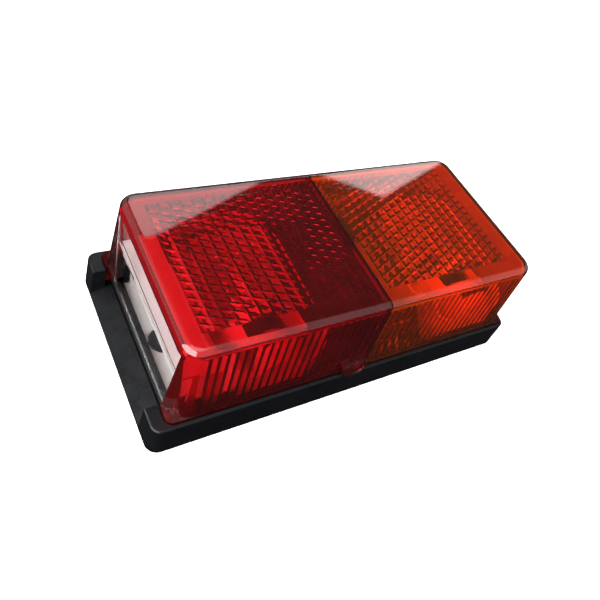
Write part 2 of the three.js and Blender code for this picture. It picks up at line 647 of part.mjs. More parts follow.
// A cheese-head clamp screw with a slot, its top just below the block's.
function terminalScrew(i) {
  const [z0, z1] = [TERMINAL.wireZ + 2.3, TERMINAL.top - 0.6];
  const screw = cut(solid(rodZ(TERMINAL.screw, z0, z1, 8)), box(-5, 5, -0.35, 0.35, z1 - 0.8, z1 + 1));
  const move = [TERMINAL.first + i * TERMINAL.pitch, (TERMINAL.y0 + TERMINAL.y1) / 2, 0];
  return screw.translate(move);
}

// A pan-head screw that holds a bulb holder's foot down, with a slot.
function holderScrew([x, y]) {
  const under = BASE.floor + GAP + HOLDER.foot + 0.1;
  const top = under + SCREW.headHeight;
  const turned = turnedZ([
    [0, SCREW.end], [SCREW.shank, SCREW.end], [SCREW.shank, under], [SCREW.head, under],
    [SCREW.head, top - 0.8], [SCREW.head - 0.8, top], [0, top],
  ], 12);
  return cut(solid(turned), box(-5, 5, -0.4, 0.4, top - 1, top + 1)).translate([x, y, 0]);
}

// A rubber ring in the cable hole of the floor: a flange inside, flush with the back.
function cableGrommet() {
  const { hole, bore, flange, top } = GROMMET;
  const neck = hole - 0.2;
  const shelf = BASE.floor + 0.2;
  return turnedZ([[bore, 0.3], [neck, 0.3], [neck, shelf], [flange, shelf], [flange, top - 0.8],
    [flange - 0.8, top], [bore, top], [bore, 0.3]], 16).translate(GROMMET.x, GROMMET.y, 0);
}

// ---------------------------------------------------------------- assembly

const outside = lensOutside();
const hollow = lensHollow();

place(lamp, 'base_housing', baseHousing(), BLACK);
place(lamp, 'lens_gasket', gasket(), RUBBER);
place(lamp, 'lens_red', redLens(outside, hollow), RED);
place(lamp, 'lens_amber', amberLens(outside, hollow), AMBER);
place(lamp, 'plate_window', plateWindow(), CLEAR);
place(lamp, 'bay_partition', partition(), BLACK);

place(lamp, 'tail_reflector', reflectorInsert(TAIL_X, true), WHITE);
place(lamp, 'indicator_reflector', reflectorInsert(INDICATOR_X, false), WHITE);

socketAndBulb({
  name: 'tail',
  axisX: TAIL_X,
  pinXs: [BAYONET.pinX, BAYONET.pinX + BAYONET.offset],
  wireSide: -1,
  contacts: ['tail', 'stop'],
  filaments: [{ label: 'tail', x: 17, z: 3, halfSpan: 3 }, { label: 'stop', x: 15, z: -2.4, halfSpan: 3 }],
});
socketAndBulb({
  name: 'indicator',
  axisX: INDICATOR_X,
  pinXs: [BAYONET.pinX, BAYONET.pinX],
  wireSide: 1,
  contacts: ['indicator'],
  filaments: [{ label: 'indicator', x: 16, z: 1, halfSpan: 3 }],
});

screwPlaces().forEach((at, i) => {
  const [bay, side] = [i < 2 ? 'tail' : 'indicator', i % 2 ? 'right' : 'left'];
  place(lamp, `${bay}_holder_screw_${side}`, holderScrew(at), ZINC);
});

place(lamp, 'terminal_block', terminalBlock(), BLACK);
WIRES.forEach((run, i) => {
  place(lamp, `terminal_screw_${run.name}`, terminalScrew(i), BRASS);
  place(lamp, `wire_${run.name}`, wire(run, i), plastic(run.color, 0.55));
});
place(lamp, 'cable_grommet', cableGrommet(), RUBBER);

export default lamp;
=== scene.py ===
import json
from math import cos, log, pi, radians, sin, tau

import bmesh
import bpy
from mathutils import Matrix, Quaternion, Vector

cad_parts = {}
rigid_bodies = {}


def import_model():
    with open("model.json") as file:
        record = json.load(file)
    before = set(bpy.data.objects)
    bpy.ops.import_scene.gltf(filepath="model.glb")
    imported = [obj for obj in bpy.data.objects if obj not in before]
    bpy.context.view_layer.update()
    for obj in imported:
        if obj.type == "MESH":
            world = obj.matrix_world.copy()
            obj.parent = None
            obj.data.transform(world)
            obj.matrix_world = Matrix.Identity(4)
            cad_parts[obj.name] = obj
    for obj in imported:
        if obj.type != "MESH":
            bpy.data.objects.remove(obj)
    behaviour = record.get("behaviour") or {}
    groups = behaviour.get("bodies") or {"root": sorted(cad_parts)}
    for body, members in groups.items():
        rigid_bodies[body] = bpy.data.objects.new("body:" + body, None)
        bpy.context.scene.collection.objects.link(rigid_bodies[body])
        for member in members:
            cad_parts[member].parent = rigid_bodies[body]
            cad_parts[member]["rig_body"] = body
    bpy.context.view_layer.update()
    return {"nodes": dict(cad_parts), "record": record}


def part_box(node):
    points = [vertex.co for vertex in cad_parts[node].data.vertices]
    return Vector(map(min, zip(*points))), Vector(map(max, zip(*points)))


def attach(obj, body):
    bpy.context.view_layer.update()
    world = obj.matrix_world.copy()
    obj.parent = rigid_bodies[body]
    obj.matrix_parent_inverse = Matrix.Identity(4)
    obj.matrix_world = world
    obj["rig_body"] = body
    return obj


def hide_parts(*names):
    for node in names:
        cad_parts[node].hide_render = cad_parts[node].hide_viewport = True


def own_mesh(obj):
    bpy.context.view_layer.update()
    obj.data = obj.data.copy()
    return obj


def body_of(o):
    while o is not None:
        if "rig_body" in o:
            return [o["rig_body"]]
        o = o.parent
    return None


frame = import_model()

# ---------------------------------------------------------------- driving sizes, in metres

MM = 0.001
FAR = 1.0  # how far a cutting block goes past the lamp
GAP = 0.3 * MM  # clearance between neighbouring pieces

LENS_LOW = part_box("lens_red")[0]
LENS_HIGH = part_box("lens_amber")[1]
TAB_PROUD = 1.4 * MM  # how far the snap tabs stand out of the lens foot
FOOT = {"x0": LENS_LOW.x, "x1": LENS_HIGH.x, "y": LENS_LOW.y * -1 - TAB_PROUD}
FLARE = 3.2 * MM  # how much wider the lens is at its foot than at its top
FOOT_CORNER = 10.5 * MM
TOP_CORNER = 7 * MM
EDGE_ROUND = 3.35 * MM
WALL = 2.4 * MM
SKIRT_TOP = 16 * MM
SKIRT_CORNER = 3.3 * MM
BASE_RIM = 14.7 * MM  # top of the base, where the flared wall starts
JOINT_X = 2.2 * MM  # where the red and amber halves meet
JOINT_GROOVE = 0.55 * MM  # width of the groove along the joint

FLUTE = {
    "pitch": 3.3 * MM, "depth": 0.8 * MM, "count": 46,
    "x0": -73.9 * MM, "z0": 17.5 * MM, "z1": 47.5 * MM,
}
PRISM = {"x": 4.45 * MM, "y": 3.7 * MM, "depth": 0.6 * MM, "flat": 0.42}  # a blunt pyramid under the face
RED_FIELD = {"x0": -72 * MM, "columns": 16, "y0": -28.8 * MM, "rows": 16, "lean": -1}
AMBER_FIELD = {"x0": 6 * MM, "columns": 15, "y0": -28.8 * MM, "rows": 16, "lean": 1}

PANE_LOW, PANE_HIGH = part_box("plate_window")
PANE_THICK = 2 * MM
JAMB = 2.2 * MM
TAB = {"x": -4 * MM, "radius": 6.6 * MM, "bottom": 12.4 * MM, "top": 20 * MM}

BASE = {"corner": 5 * MM, "draft": 0.85 * MM, "floor": 2.4 * MM, "edge": 1 * MM}
LEDGE = {"outer_z": 2 * MM, "inner_z": 4.9 * MM, "inner_x": -81.2 * MM, "half": 32 * MM}
UPSTAND = {"thickness": 1.8 * MM, "height": 16.4 * MM, "window_height": 7.8 * MM}
MOUNT = {"xs": (-68 * MM, 32 * MM), "radius": 3.2 * MM, "boss": 6 * MM, "boss_top": 4.6 * MM}
CABLE_HOLE = {"x": 18 * MM, "y": 14 * MM, "radius": 4.8 * MM}
HOLDER_SCREW = {"radius": 1.4 * MM, "bottom": 0.7 * MM}
SPRING = {"wire": 0.45 * MM, "turns": 3.5, "steps": 140, "sides": 12}
BULB = {
    "neck": 6.6 * MM, "wall": 0.6 * MM, "straight": 6 * MM,
    "rise": 2.2 * MM, "pull": 5 * MM,  # how far the neck's curve runs on from each of its ends
    "ball_from": -38,  # where the ball starts, in degrees from its widest ring
}


# ---------------------------------------------------------------- mesh helpers

def inset(rect, d, corner=None):
    """The rounded rectangle with every side moved in by d."""
    r = max(rect["r"] - d, 0.4 * MM) if corner is None else corner
    return {"x0": rect["x0"] + d, "x1": rect["x1"] - d, "y": rect["y"] - d, "r": r}


def outline(rect, steps=10):
    """Points round a rounded rectangle from x0 to x1 and from -y to +y, anticlockwise."""
    x0, x1, y, r = rect["x0"], rect["x1"], rect["y"], rect["r"]
    corners = [(x1 - r, y - r), (x0 + r, y - r), (x0 + r, r - y), (x1 - r, r - y)]
    points = []
    for quarter, (cx, cy) in enumerate(corners):
        for step in range(steps + 1):
            angle = (quarter + step / steps) * pi / 2
            points.append((cx + r * cos(angle), cy + r * sin(angle)))
    return points


def new_object(name, bm):
    bmesh.ops.recalc_face_normals(bm, faces=bm.faces)
    mesh = bpy.data.meshes.new(name)
    bm.to_mesh(mesh)
    bm.free()
    obj = bpy.data.objects.new(name, mesh)
    bpy.context.scene.collection.objects.link(obj)
    return obj


def loft(name, levels):
    """A closed solid through rings of points, each with as many points as the next, lowest ring first."""
    bm = bmesh.new()
    rings = [[bm.verts.new((x, y, z)) for x, y in points] for points, z in levels]
    count = len(rings[0])
    for lower, upper in zip(rings, rings[1:]):
        for i in range(count):
            j = (i + 1) % count
            bm.faces.new((lower[i], lower[j], upper[j], upper[i]))
    bm.faces.new(rings[0][::-1])
    bm.faces.new(rings[-1])
    return new_object(name, bm)


def block(x0, x1, y0, y1, z0, z1):
    return loft("block", [([(x0, y0), (x1, y0), (x1, y1), (x0, y1)], z) for z in (z0, z1)])


def slab_y(points, y0, y1):
    """An outline drawn in (x, z), extruded along y."""
    bm = bmesh.new()
    rings = [[bm.verts.new((x, y, z)) for x, z in points] for y in (y0, y1)]
    for i in range(len(points)):
        j = (i + 1) % len(points)
        bm.faces.new((rings[0][i], rings[0][j], rings[1][j], rings[1][i]))
    bm.faces.new(rings[0][::-1])
    bm.faces.new(rings[1])
    return new_object("slab", bm)


def prism(rect, z0, z1):
    return loft("prism", [(outline(rect), z0), (outline(rect), z1)])


def rod(radius, x, y, z0, z1):
    """An upright cylinder."""
    obj = turned("rod", [(0, z0), (radius, z0), (radius, z1), (0, z1)], 48)
    obj.data.transform(Matrix.Translation((x, y, 0)))
    return obj


def turned(name, profile, segments=64):
    """A solid of revolution about +Z. profile lists (radius, height), closed on itself or on the axis."""
    bm = bmesh.new()
    rings = []
    for radius, height in profile:
        if radius < 1e-7:
            rings.append([bm.verts.new((0, 0, height))])
        else:
            angles = [tau * i / segments for i in range(segments)]
            rings.append([bm.verts.new((radius * cos(a), radius * sin(a), height)) for a in angles])
    pairs = list(zip(rings, rings[1:]))
    if profile[0][0] > 1e-7:
        pairs.append((rings[-1], rings[0]))
    for a, b in pairs:
        for i in range(segments):
            j = (i + 1) % segments
            corners = [a[i % len(a)], a[j % len(a)], b[j % len(b)], b[i % len(b)]]
            unique = list(dict.fromkeys(corners))
            if len(unique) > 2:
                bm.faces.new(unique)
    return new_object(name, bm)


def combine(target, tool, operation):
    """Joins tool to target, or cuts it away, and deletes tool."""
    modifier = target.modifiers.new("combine", "BOOLEAN")
    modifier.operation = operation
    modifier.solver = "EXACT"
    modifier.object = tool
    graph = bpy.context.evaluated_depsgraph_get()
    mesh = bpy.data.meshes.new_from_object(target.evaluated_get(graph))
    target.modifiers.clear()
    target.data = mesh
    bpy.data.objects.remove(tool)
    return target


def cut(target, *tools):
    for tool in tools:
        combine(target, tool, "DIFFERENCE")
    return target


def joined(target, *tools):
    for tool in tools:
        combine(target, tool, "UNION")
    return target


def copy_of(obj):
    twin = bpy.data.objects.new(obj.name, obj.data.copy())
    bpy.context.scene.collection.objects.link(twin)
    return twin


def soften(obj, width, angle=40, segments=3):
    """Rounds the edges sharper than angle, and shades the rest smooth with flat faces kept flat."""
    bevel = obj.modifiers.new("round_edges", "BEVEL")
    bevel.width = width
    bevel.segments = segments
    bevel.limit_method = "ANGLE"
    bevel.angle_limit = radians(angle)
    bevel.use_clamp_overlap = True
    weighted = obj.modifiers.new("flat_faces", "WEIGHTED_NORMAL")
    weighted.keep_sharp = True
    return obj


def finish_piece(obj, name, body, material, slot, *nodes):
    """Names the piece, paints it, puts it on its body and hides the CAD nodes it stands for."""
    obj.name = name
    obj.data.name = name
    obj.data.materials.clear()
    obj.data.materials.append(material)
    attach(obj, body)
    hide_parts(*nodes)
    return obj


# ---------------------------------------------------------------- materials

class Look:
    """A material's node tree, with short calls for the nodes that several materials share."""

    def __init__(self, name):
        self.material = bpy.data.materials.new(name)
        self.material.use_nodes = True
        self.tree = self.material.node_tree
        self.shader = self.tree.nodes["Principled BSDF"]
        self.output = self.tree.nodes["Material Output"]
        self.place = self.tree.nodes.new("ShaderNodeTexCoord").outputs["Object"]

    def node(self, kind, inputs=None, **settings):
        node = self.tree.nodes.new(kind)
        for key, value in settings.items():
            setattr(node, key, value)
        for key, value in (inputs or {}).items():
            self.plug(value, node.inputs[key])
        return node

    def plug(self, value, socket):
        if isinstance(value, bpy.types.NodeSocket):
            self.tree.links.new(value, socket)
        else:
            socket.default_value = value

    def set(self, **inputs):
        for key, value in inputs.items():
            self.plug(value, self.shader.inputs[key.replace("_", " ")])

    def noise(self, size, detail=3, roughness=0.5, stretch=(1, 1, 1), distortion=0):
        """Noise between 0 and 1 whose blobs are about size metres across."""
        mapping = self.node("ShaderNodeMapping", {"Vector": self.place, "Scale": stretch})
        inputs = {
            "Vector": mapping.outputs[0], "Scale": 1 / size, "Detail": detail, "Roughness": roughness,
            "Distortion": distortion,
        }
        return self.node("ShaderNodeTexNoise", inputs).outputs["Fac"]

    def remap(self, value, low, high, start=0.0, end=1.0):
        """Takes values from start to end onto low to high."""
        inputs = {"Value": value, "From Min": start, "From Max": end, "To Min": low, "To Max": high}
        return self.node("ShaderNodeMapRange", inputs).outputs[0]

    def blend(self, factor, a, b):
        """A colour between a and b."""
        return self.node("ShaderNodeMix", {0: factor, 6: a, 7: b}, data_type="RGBA").outputs[2]

    def bump(self, height, depth, normal=None):
        """A bump whose height 0 to 1 is depth metres."""
        inputs = {"Height": height, "Distance": depth, "Strength": 1.0}
        if normal is not None:
            inputs["Normal"] = normal
        return self.node("ShaderNodeBump", inputs).outputs[0]


def rgba(color, factor=1.0):
    return (*[min(channel * factor, 1) for channel in color], 1)


def grey(level):
    return (level, level, level, 1)


def moulded(name, color, roughness, grain=0.4 * MM, grain_depth=0.012 * MM, spread=0.25):
    """Moulded plastic or rubber: fine grain, slow change of tone, and patches that are duller."""
    look = Look(name)
    tone = look.noise(14 * MM, 4)
    darker, lighter = rgba(color, 1 - spread), rgba(color, 1 + spread)
    look.set(Base_Color=look.blend(look.remap(tone, 0, 1, 0.3, 0.7), darker, lighter))
    patches = look.noise(6 * MM, 5, 0.6)
    look.set(Roughness=look.remap(patches, roughness - 0.07, roughness + 0.1, 0.3, 0.7))
    waves = look.bump(look.noise(9 * MM, 2), 0.05 * MM)
    look.set(Normal=look.bump(look.noise(grain, 2), grain_depth, waves))
    return look


def metal(name, color, roughness, brushed=(1, 1, 1)):
    """Plated or stamped metal: drawn lines along brushed, stains and a change of shine."""
    look = Look(name)
    stains = look.noise(3 * MM, 5, 0.65)
    stained = look.remap(stains, 0, 1, 0.35, 0.75)
    look.set(Base_Color=look.blend(stained, rgba(color), rgba(color, 0.6)), Metallic=1)
    look.set(Roughness=look.remap(look.noise(1.5 * MM, 4), roughness - 0.08, roughness + 0.14, 0.3, 0.7))
    look.set(Normal=look.bump(look.noise(0.5 * MM, 3, 0.5, brushed), 0.008 * MM))
    return look


def see_through(name, share_through_wall, wall, roughness=0.01, ior=1.49, skin=(1, 1, 1), haze=0.0):
    """Clear plastic or glass. share_through_wall is the light of each colour left after one wall, skin is
    the share left by the faces it goes in and out at, and haze is the share scattered at a face."""
    look = Look(name)
    lost = [-log(share) / wall for share in share_through_wall]
    density = max(lost) * 1.02
    inputs = {"Color": rgba([1 - x / density for x in lost]), "Density": density}
    look.plug(look.node("ShaderNodeVolumeAbsorption", inputs).outputs[0], look.output.inputs["Volume"])
    look.set(Base_Color=rgba(skin), IOR=ior)
    patches = look.noise(7 * MM, 4, 0.6)
    look.set(Transmission_Weight=look.remap(patches, 1 - haze * 0.7, 1 - haze * 1.3, 0.35, 0.75))
    look.set(Roughness=look.remap(patches, roughness * 0.6, roughness * 1.8, 0.35, 0.75))
    scratches = look.noise(0.9 * MM, 2, 0.5, (0.12, 1, 1), 0.4)
    look.set(Normal=look.bump(look.remap(scratches, 0, 1, 0.62, 0.7), 0.0015 * MM))
    return look


def black_plastic():
    look = moulded("black_plastic", (0.0018, 0.002, 0.0025), 0.3)
    look.set(Specular_IOR_Level=0.16)
    return look


def sealing_rubber():
    look = moulded("sealing_rubber", (0.004, 0.004, 0.0045), 0.7)
    look.set(Specular_IOR_Level=0.2)
    return look


def white_plastic():
    return moulded("white_plastic", (0.74, 0.74, 0.72), 0.3, grain_depth=0.004 * MM, spread=0.03)


def bakelite():
    return moulded("bakelite", (0.09, 0.045, 0.025), 0.45, grain_depth=0.006 * MM)


def wire_cover(name, color):
    return moulded(name, color, 0.45, grain_depth=0.003 * MM, spread=0.12)


WHITE = white_plastic().material
BLACK = black_plastic().material
RUBBER = sealing_rubber().material
BAKELITE = bakelite().material
BRASS = metal("brass", (0.66, 0.44, 0.16), 0.28).material
ZINC = metal("zinc_steel", (0.6, 0.61, 0.63), 0.3).material
SOLDER = metal("solder", (0.42, 0.43, 0.44), 0.42).material
TUNGSTEN = metal("tungsten", (0.16, 0.16, 0.17), 0.4).material
RED = see_through("red_lens", (0.74, 0.5, 0.62), WALL, skin=(0.85, 0.02, 0.025), haze=0.02).material
AMBER = see_through("amber_lens", (0.9, 0.72, 0.45), WALL, skin=(0.96, 0.17, 0.01), haze=0.02).material
CLEAR = see_through("clear_window", (0.975, 0.98, 0.98), WALL).material
GLASS = see_through("bulb_glass", (0.98, 0.985, 0.98), WALL, 0.005, 1.5).material
WIRE_COLOURS = {
    "wire_brown": (0.11, 0.045, 0.018), "wire_red": (0.45, 0.02, 0.02),
    "wire_white": (0.75, 0.75, 0.72), "wire_green": (0.02, 0.2, 0.05),
}
BY_SLOT = {
    "black_plastic": BLACK, "white_plastic": WHITE, "sealing_rubber": RUBBER, "bakelite": BAKELITE,
    "red_lens": RED, "amber_lens": AMBER, "clear_window": CLEAR, "bulb_glass": GLASS,
    "brass": BRASS, "zinc_steel": ZINC, "solder": SOLDER, "tungsten": TUNGSTEN,
}
BY_SLOT.update({name: wire_cover(name, color).material for name, color in WIRE_COLOURS.items()})


# ---------------------------------------------------------------- lens

lens_foot = {**FOOT, "r": FOOT_CORNER}
lens_top = inset(lens_foot, FLARE, TOP_CORNER)


def lens_outside():
    """The flared wall with its rounded top edge, and the skirt that goes down into the base."""
    levels = [(outline(lens_foot), BASE_RIM)]
    for step in range(9):
        angle = step / 8 * pi / 2
        rect = inset(lens_top, EDGE_ROUND * (1 - cos(angle)))
        levels.append((outline(rect), LENS_HIGH.z - EDGE_ROUND * (1 - sin(angle))))
    skirt_rect = inset(lens_foot, 0, SKIRT_CORNER)
    skirt = loft("skirt", [(outline(skirt_rect), LENS_LOW.z), (outline(skirt_rect), SKIRT_TOP)])
    return joined(loft("lens", levels), skirt)


def lens_hollow():
    """The room inside the lens, with a rounded top edge."""
    bend = EDGE_ROUND - WALL + 1 * MM
    inside = inset(lens_foot, WALL)
    top = inset(lens_top, WALL)
    levels = [(outline(inside), -1 * MM), (outline(inside), BASE_RIM)]
    for step in range(6):
        angle = step / 5 * pi / 2
        rect = inset(top, bend * (1 - cos(angle)))
        levels.append((outline(rect), LENS_HIGH.z - WALL - bend * (1 - sin(angle))))
    return loft("hollow", levels)


def flare_at(z):
    return FLARE * (1 - (z - BASE_RIM) / (LENS_HIGH.z - EDGE_ROUND - BASE_RIM))


def flute_band():
    """A block as wide as the hollow, with upright V ridges along both long sides."""
    levels = []
    for z in (FLUTE["z0"], FLUTE["z1"]):
        y = lens_top["y"] - WALL + flare_at(z) - 0.05 * MM
        front = []
        for i in range(2 * FLUTE["count"] + 1):
            front.append((FLUTE["x0"] + i * FLUTE["pitch"] / 2, -y - (i % 2) * FLUTE["depth"]))
        levels.append((front + [(x, -y) for x, y in reversed(front)], z))
    return loft("flutes", levels)


def prism_field(field):
    """A block topped with rows of blunt pyramids. The rows lean by half a pyramid in each column."""
    ceiling = LENS_HIGH.z - WALL
    groove_z = ceiling + PRISM["depth"]
    tip_rise = (0.05 * MM - PRISM["depth"]) / (1 - PRISM["flat"])
    lean = field["lean"] * PRISM["y"] / 2
    columns = field["columns"]
    rows = field["rows"] + columns // 2 + 1
    start = field["y0"] - max(lean, 0) * columns
    bm = bmesh.new()
    grid = [
        [bm.verts.new((field["x0"] + i * PRISM["x"], start + i * lean + j * PRISM["y"], groove_z))
         for j in range(rows + 1)]
        for i in range(columns + 1)
    ]
    for i in range(columns):
        for j in range(rows):
            ring = [grid[i][j], grid[i + 1][j], grid[i + 1][j + 1], grid[i][j + 1]]
            apex = (ring[0].co + ring[2].co) / 2 + Vector((0, 0, tip_rise))
            tip = [bm.verts.new(apex.lerp(v.co, PRISM["flat"])) for v in ring]
            for k in range(4):
                bm.faces.new((ring[k], ring[k - 3], tip[k - 3], tip[k]))
            bm.faces.new(tip)
    far_side = [line[-1] for line in grid[1:-1]]
    near_side = [line[0] for line in grid[-2:0:-1]]
    border = [*grid[0], *far_side, *grid[-1][::-1], *near_side]
    below = [bm.verts.new((v.co.x, v.co.y, ceiling - 1 * MM)) for v in border]
    for k in range(len(border)):
        bm.faces.new((border[k], border[k - 1], below[k - 1], below[k]))
    bm.faces.new(below)
    x1 = field["x0"] + columns * PRISM["x"]
    y1 = field["y0"] + field["rows"] * PRISM["y"]
    room = block(field["x0"], x1, field["y0"], y1, ceiling - 0.5 * MM, FAR)
    return combine(new_object("prisms", bm), room, "INTERSECT")


def tab_outline(radius):
    centre = TAB["bottom"] + TAB["radius"]
    angles = [pi + pi * step / 24 for step in range(25)]
    points = [(TAB["x"] + radius * cos(a), centre + radius * sin(a)) for a in angles]
    return points + [(TAB["x"] + radius, TAB["top"]), (TAB["x"] - radius, TAB["top"])]


def tab(side):
    """A snap tab: half round at the bottom, standing a little out of the wall."""
    reach = sorted((side * (FOOT["y"] - WALL), side * (FOOT["y"] + TAB_PROUD)))
    return slab_y(tab_outline(TAB["radius"]), *reach)


def blacken_joint(obj):
    """The cement makes the faces where the two halves meet black."""
    obj.data.materials.append(BLACK)
    for face in obj.data.polygons:
        if abs(face.center.x - JOINT_X) < JOINT_GROOVE and abs(face.normal.x) > 0.9:
            face.material_index = 1


def lens_halves():
    outside = lens_outside()
    hollow = lens_hollow()
    red = joined(copy_of(outside), tab(-1), tab(1))
    window_half = PANE_HIGH.y + GAP
    room = copy_of(hollow)
    for side in (-1, 1):
        jamb = sorted((side * window_half, side * (window_half + JAMB)))
        cut(room, block(-FAR, PANE_LOW.x + PANE_THICK, *jamb, -FAR, FAR))
    window = block(-FAR, PANE_LOW.x + 10 * MM, -window_half, window_half, -FAR, PANE_HIGH.z + GAP)
    cut(red, room, flute_band(), prism_field(RED_FIELD), window)
    cut(red, block(JOINT_X - JOINT_GROOVE / 2, FAR, -FAR, FAR, -FAR, FAR))
    amber = cut(outside, hollow, flute_band(), prism_field(AMBER_FIELD))
    cut(amber, block(-FAR, JOINT_X + JOINT_GROOVE / 2, -FAR, FAR, -FAR, FAR))
    for obj, name, slot in ((red, "lens_red", "red_lens"), (amber, "lens_amber", "amber_lens")):
        obj.data.shade_smooth()
        obj.data.set_sharp_from_angle(angle=radians(16))
        soften(obj, 0.22 * MM, 62, 2)
        finish_piece(obj, f"{name}_moulding", "lens", BY_SLOT[slot], slot, name)
        blacken_joint(obj)


# ---------------------------------------------------------------- base

def base_tray():
    """The tray with its drafted wall, the lens's pocket and the low sloping end under the window."""
    low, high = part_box("base_housing")
    back = {"x0": low.x, "x1": high.x, "y": high.y, "r": BASE["corner"]}
    levels = [(outline(back), 0)]
    for step in range(7):
        angle = step / 6 * pi / 2
        rect = inset(back, BASE["draft"] + BASE["edge"] * (1 - cos(angle)))
        levels.append((outline(rect), BASE_RIM - BASE["edge"] * (1 - sin(angle))))
    tray = loft("tray", levels)
    half = LEDGE["half"]
    cut(tray, prism(inset(lens_foot, -GAP, SKIRT_CORNER + GAP), BASE["floor"], FAR))
    cut(tray, block(-FAR, LEDGE["inner_x"], -half, half, -FAR, FAR))
    inner_x = LEDGE["inner_x"]
    slope = [
        (low.x, 0), (inner_x + 1 * MM, 0), (inner_x + 1 * MM, BASE["floor"]), (inner_x, BASE["floor"]),
        (inner_x, LEDGE["inner_z"]), (low.x, LEDGE["outer_z"]),
    ]
    return joined(tray, slab_y(slope, -half, half))


def base_upstand():
    """The thin inner wall that the lens fits round. It is low behind the window."""
    outside = inset(lens_foot, WALL + GAP)
    outside["x0"] = PANE_HIGH.x + GAP
    room = inset(outside, UPSTAND["thickness"])
    wall = prism(outside, BASE["floor"] - 0.5 * MM, UPSTAND["height"])
    half = LEDGE["half"]
    gap = block(-FAR, room["x0"] + 1 * MM, -half, half, UPSTAND["window_height"], FAR)
    return cut(wall, prism(room, -FAR, FAR), gap)


def base_housing():
    base = joined(base_tray(), base_upstand())
    for side in (-1, 1):
        cut(base, slab_y(tab_outline(TAB["radius"] + GAP), *sorted((side * FOOT["y"], side * FAR))))
    for x in MOUNT["xs"]:
        joined(base, rod(MOUNT["boss"], x, 0, BASE["floor"] - 0.5 * MM, MOUNT["boss_top"]))
        cut(base, rod(MOUNT["radius"], x, 0, -FAR, FAR))
    cut(base, rod(CABLE_HOLE["radius"], CABLE_HOLE["x"], CABLE_HOLE["y"], -FAR, FAR))
    for name in frame["nodes"]:
        if "holder_screw" in name:
            middle = sum(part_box(name), Vector()) / 2
            cut(base, rod(HOLDER_SCREW["radius"], middle.x, middle.y, HOLDER_SCREW["bottom"], FAR))
    base.data.shade_smooth()
    base.data.set_sharp_from_angle(angle=radians(30))
    soften(base, 0.35 * MM, 50)
    finish_piece(base, "base_moulding", "housing", BLACK, "black_plastic", "base_housing")


# ---------------------------------------------------------------- CAD pieces that keep their shape

EDGE_ROUNDING = {"plate_window": 0.15, "tail_reflector": 0.4, "indicator_reflector": 0.4}


def dress_cad_node(name, slot):
    """Welds and rounds a CAD piece by modifiers only, and paints it."""
    obj = frame["nodes"][name]
    mesh = obj.data
    if "custom_normal" in mesh.attributes:
        mesh.attributes.remove(mesh.attributes["custom_normal"])
    mesh.shade_smooth()
    weld = obj.modifiers.new("weld", "WELD")
    weld.merge_threshold = 0.002 * MM
    soften(obj, EDGE_ROUNDING.get(name, 0.2) * MM, 38)
    mesh.materials.clear()
    mesh.materials.append(BY_SLOT[slot])


# ---------------------------------------------------------------- bulbs

def bulb_glass(bay):
    """A thin pear-shaped envelope along +Y, open at its neck inside the cap."""
    low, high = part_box(f"{bay}_bulb_glass")
    radius = (high.x - low.x) / 2
    centre_h = high.y - radius
    neck_end = low.y + BULB["straight"]
    start = radians(BULB["ball_from"])

    def side(r, shrink):
        """Half the profile: the neck, a smooth curve out to the ball, and the ball without its top."""
        neck = BULB["neck"] - shrink
        angles = [start + (pi / 2 - start) * i / 18 for i in range(18)]
        ball = [(r * cos(a), centre_h + r * sin(a)) for a in angles]
        first = Vector(ball[0])
        foot = Vector((neck, neck_end))
        pull = first - Vector((-sin(start), cos(start))) * BULB["pull"]
        lift = foot + Vector((0, BULB["rise"]))
        bend = []
        for i in range(1, 8):
            t = i / 8
            a, b = foot.lerp(lift, t), lift.lerp(pull, t)
            c = pull.lerp(first, t)
            bend.append(tuple(a.lerp(b, t).lerp(b.lerp(c, t), t)))
        return [(neck, low.y), tuple(foot), *bend, *ball]

    wall = BULB["wall"]
    outer = side(radius, 0)
    inner = side(radius - wall, wall)
    shell = turned("glass", [(0.0, high.y - wall), *reversed(inner), *outer, (0.0, high.y)])
    shell.data.transform(Quaternion((1, 0, 0), -pi / 2).to_matrix().to_4x4())
    middle = (low + high) / 2
    for vertex in shell.data.vertices:
        vertex.co.x += middle.x
        vertex.co.z += middle.z
    shell.data.shade_smooth()
    finish_piece(shell, f"{bay}_glass_envelope", f"{bay}_bulb", GLASS, "bulb_glass", f"{bay}_bulb_glass")


def contact_spring(bay):
    """A coil spring along Y, filling the box of its CAD node."""
    node = f"{bay}_contact_spring"
    low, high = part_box(node)
    middle = (low + high) / 2
    wire = SPRING["wire"]
    radius = (high.x - low.x) / 2 - wire
    steps, sides = SPRING["steps"], SPRING["sides"]
    bm = bmesh.new()
    rings = []
    for step in range(steps + 1):
        angle = tau * SPRING["turns"] * step / steps
        outward = Vector((cos(angle), 0, sin(angle)))
        centre = Vector((middle.x, low.y + wire + (high.y - low.y - 2 * wire) * step / steps, middle.z))
        centre += outward * radius
        turns = [tau * k / sides for k in range(sides)]
        rims = [outward * cos(t) + Vector((0, sin(t), 0)) for t in turns]
        rings.append([bm.verts.new(centre + rim * wire) for rim in rims])
    for a, b in zip(rings, rings[1:]):
        for k in range(sides):
            m = (k + 1) % sides
            bm.faces.new((a[k], a[m], b[m], b[k]))
    bm.faces.new(rings[0])
    bm.faces.new(rings[-1][::-1])
    spring = new_object(node, bm)
    spring.data.shade_smooth()
    spring.data.set_sharp_from_angle(angle=radians(50))
    body = body_of(frame["nodes"][node])[0]
    finish_piece(spring, f"{bay}_spring_coil", body, ZINC, "zinc_steel", node)
    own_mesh(spring)


# ---------------------------------------------------------------- stage

def direction(azimuth, elevation):
    """Unit vector. Azimuth is in degrees from +X towards +Y, elevation in degrees above the floor."""
    a, e = radians(azimuth), radians(elevation)
    return Vector((cos(a) * cos(e), sin(a) * cos(e), sin(e)))


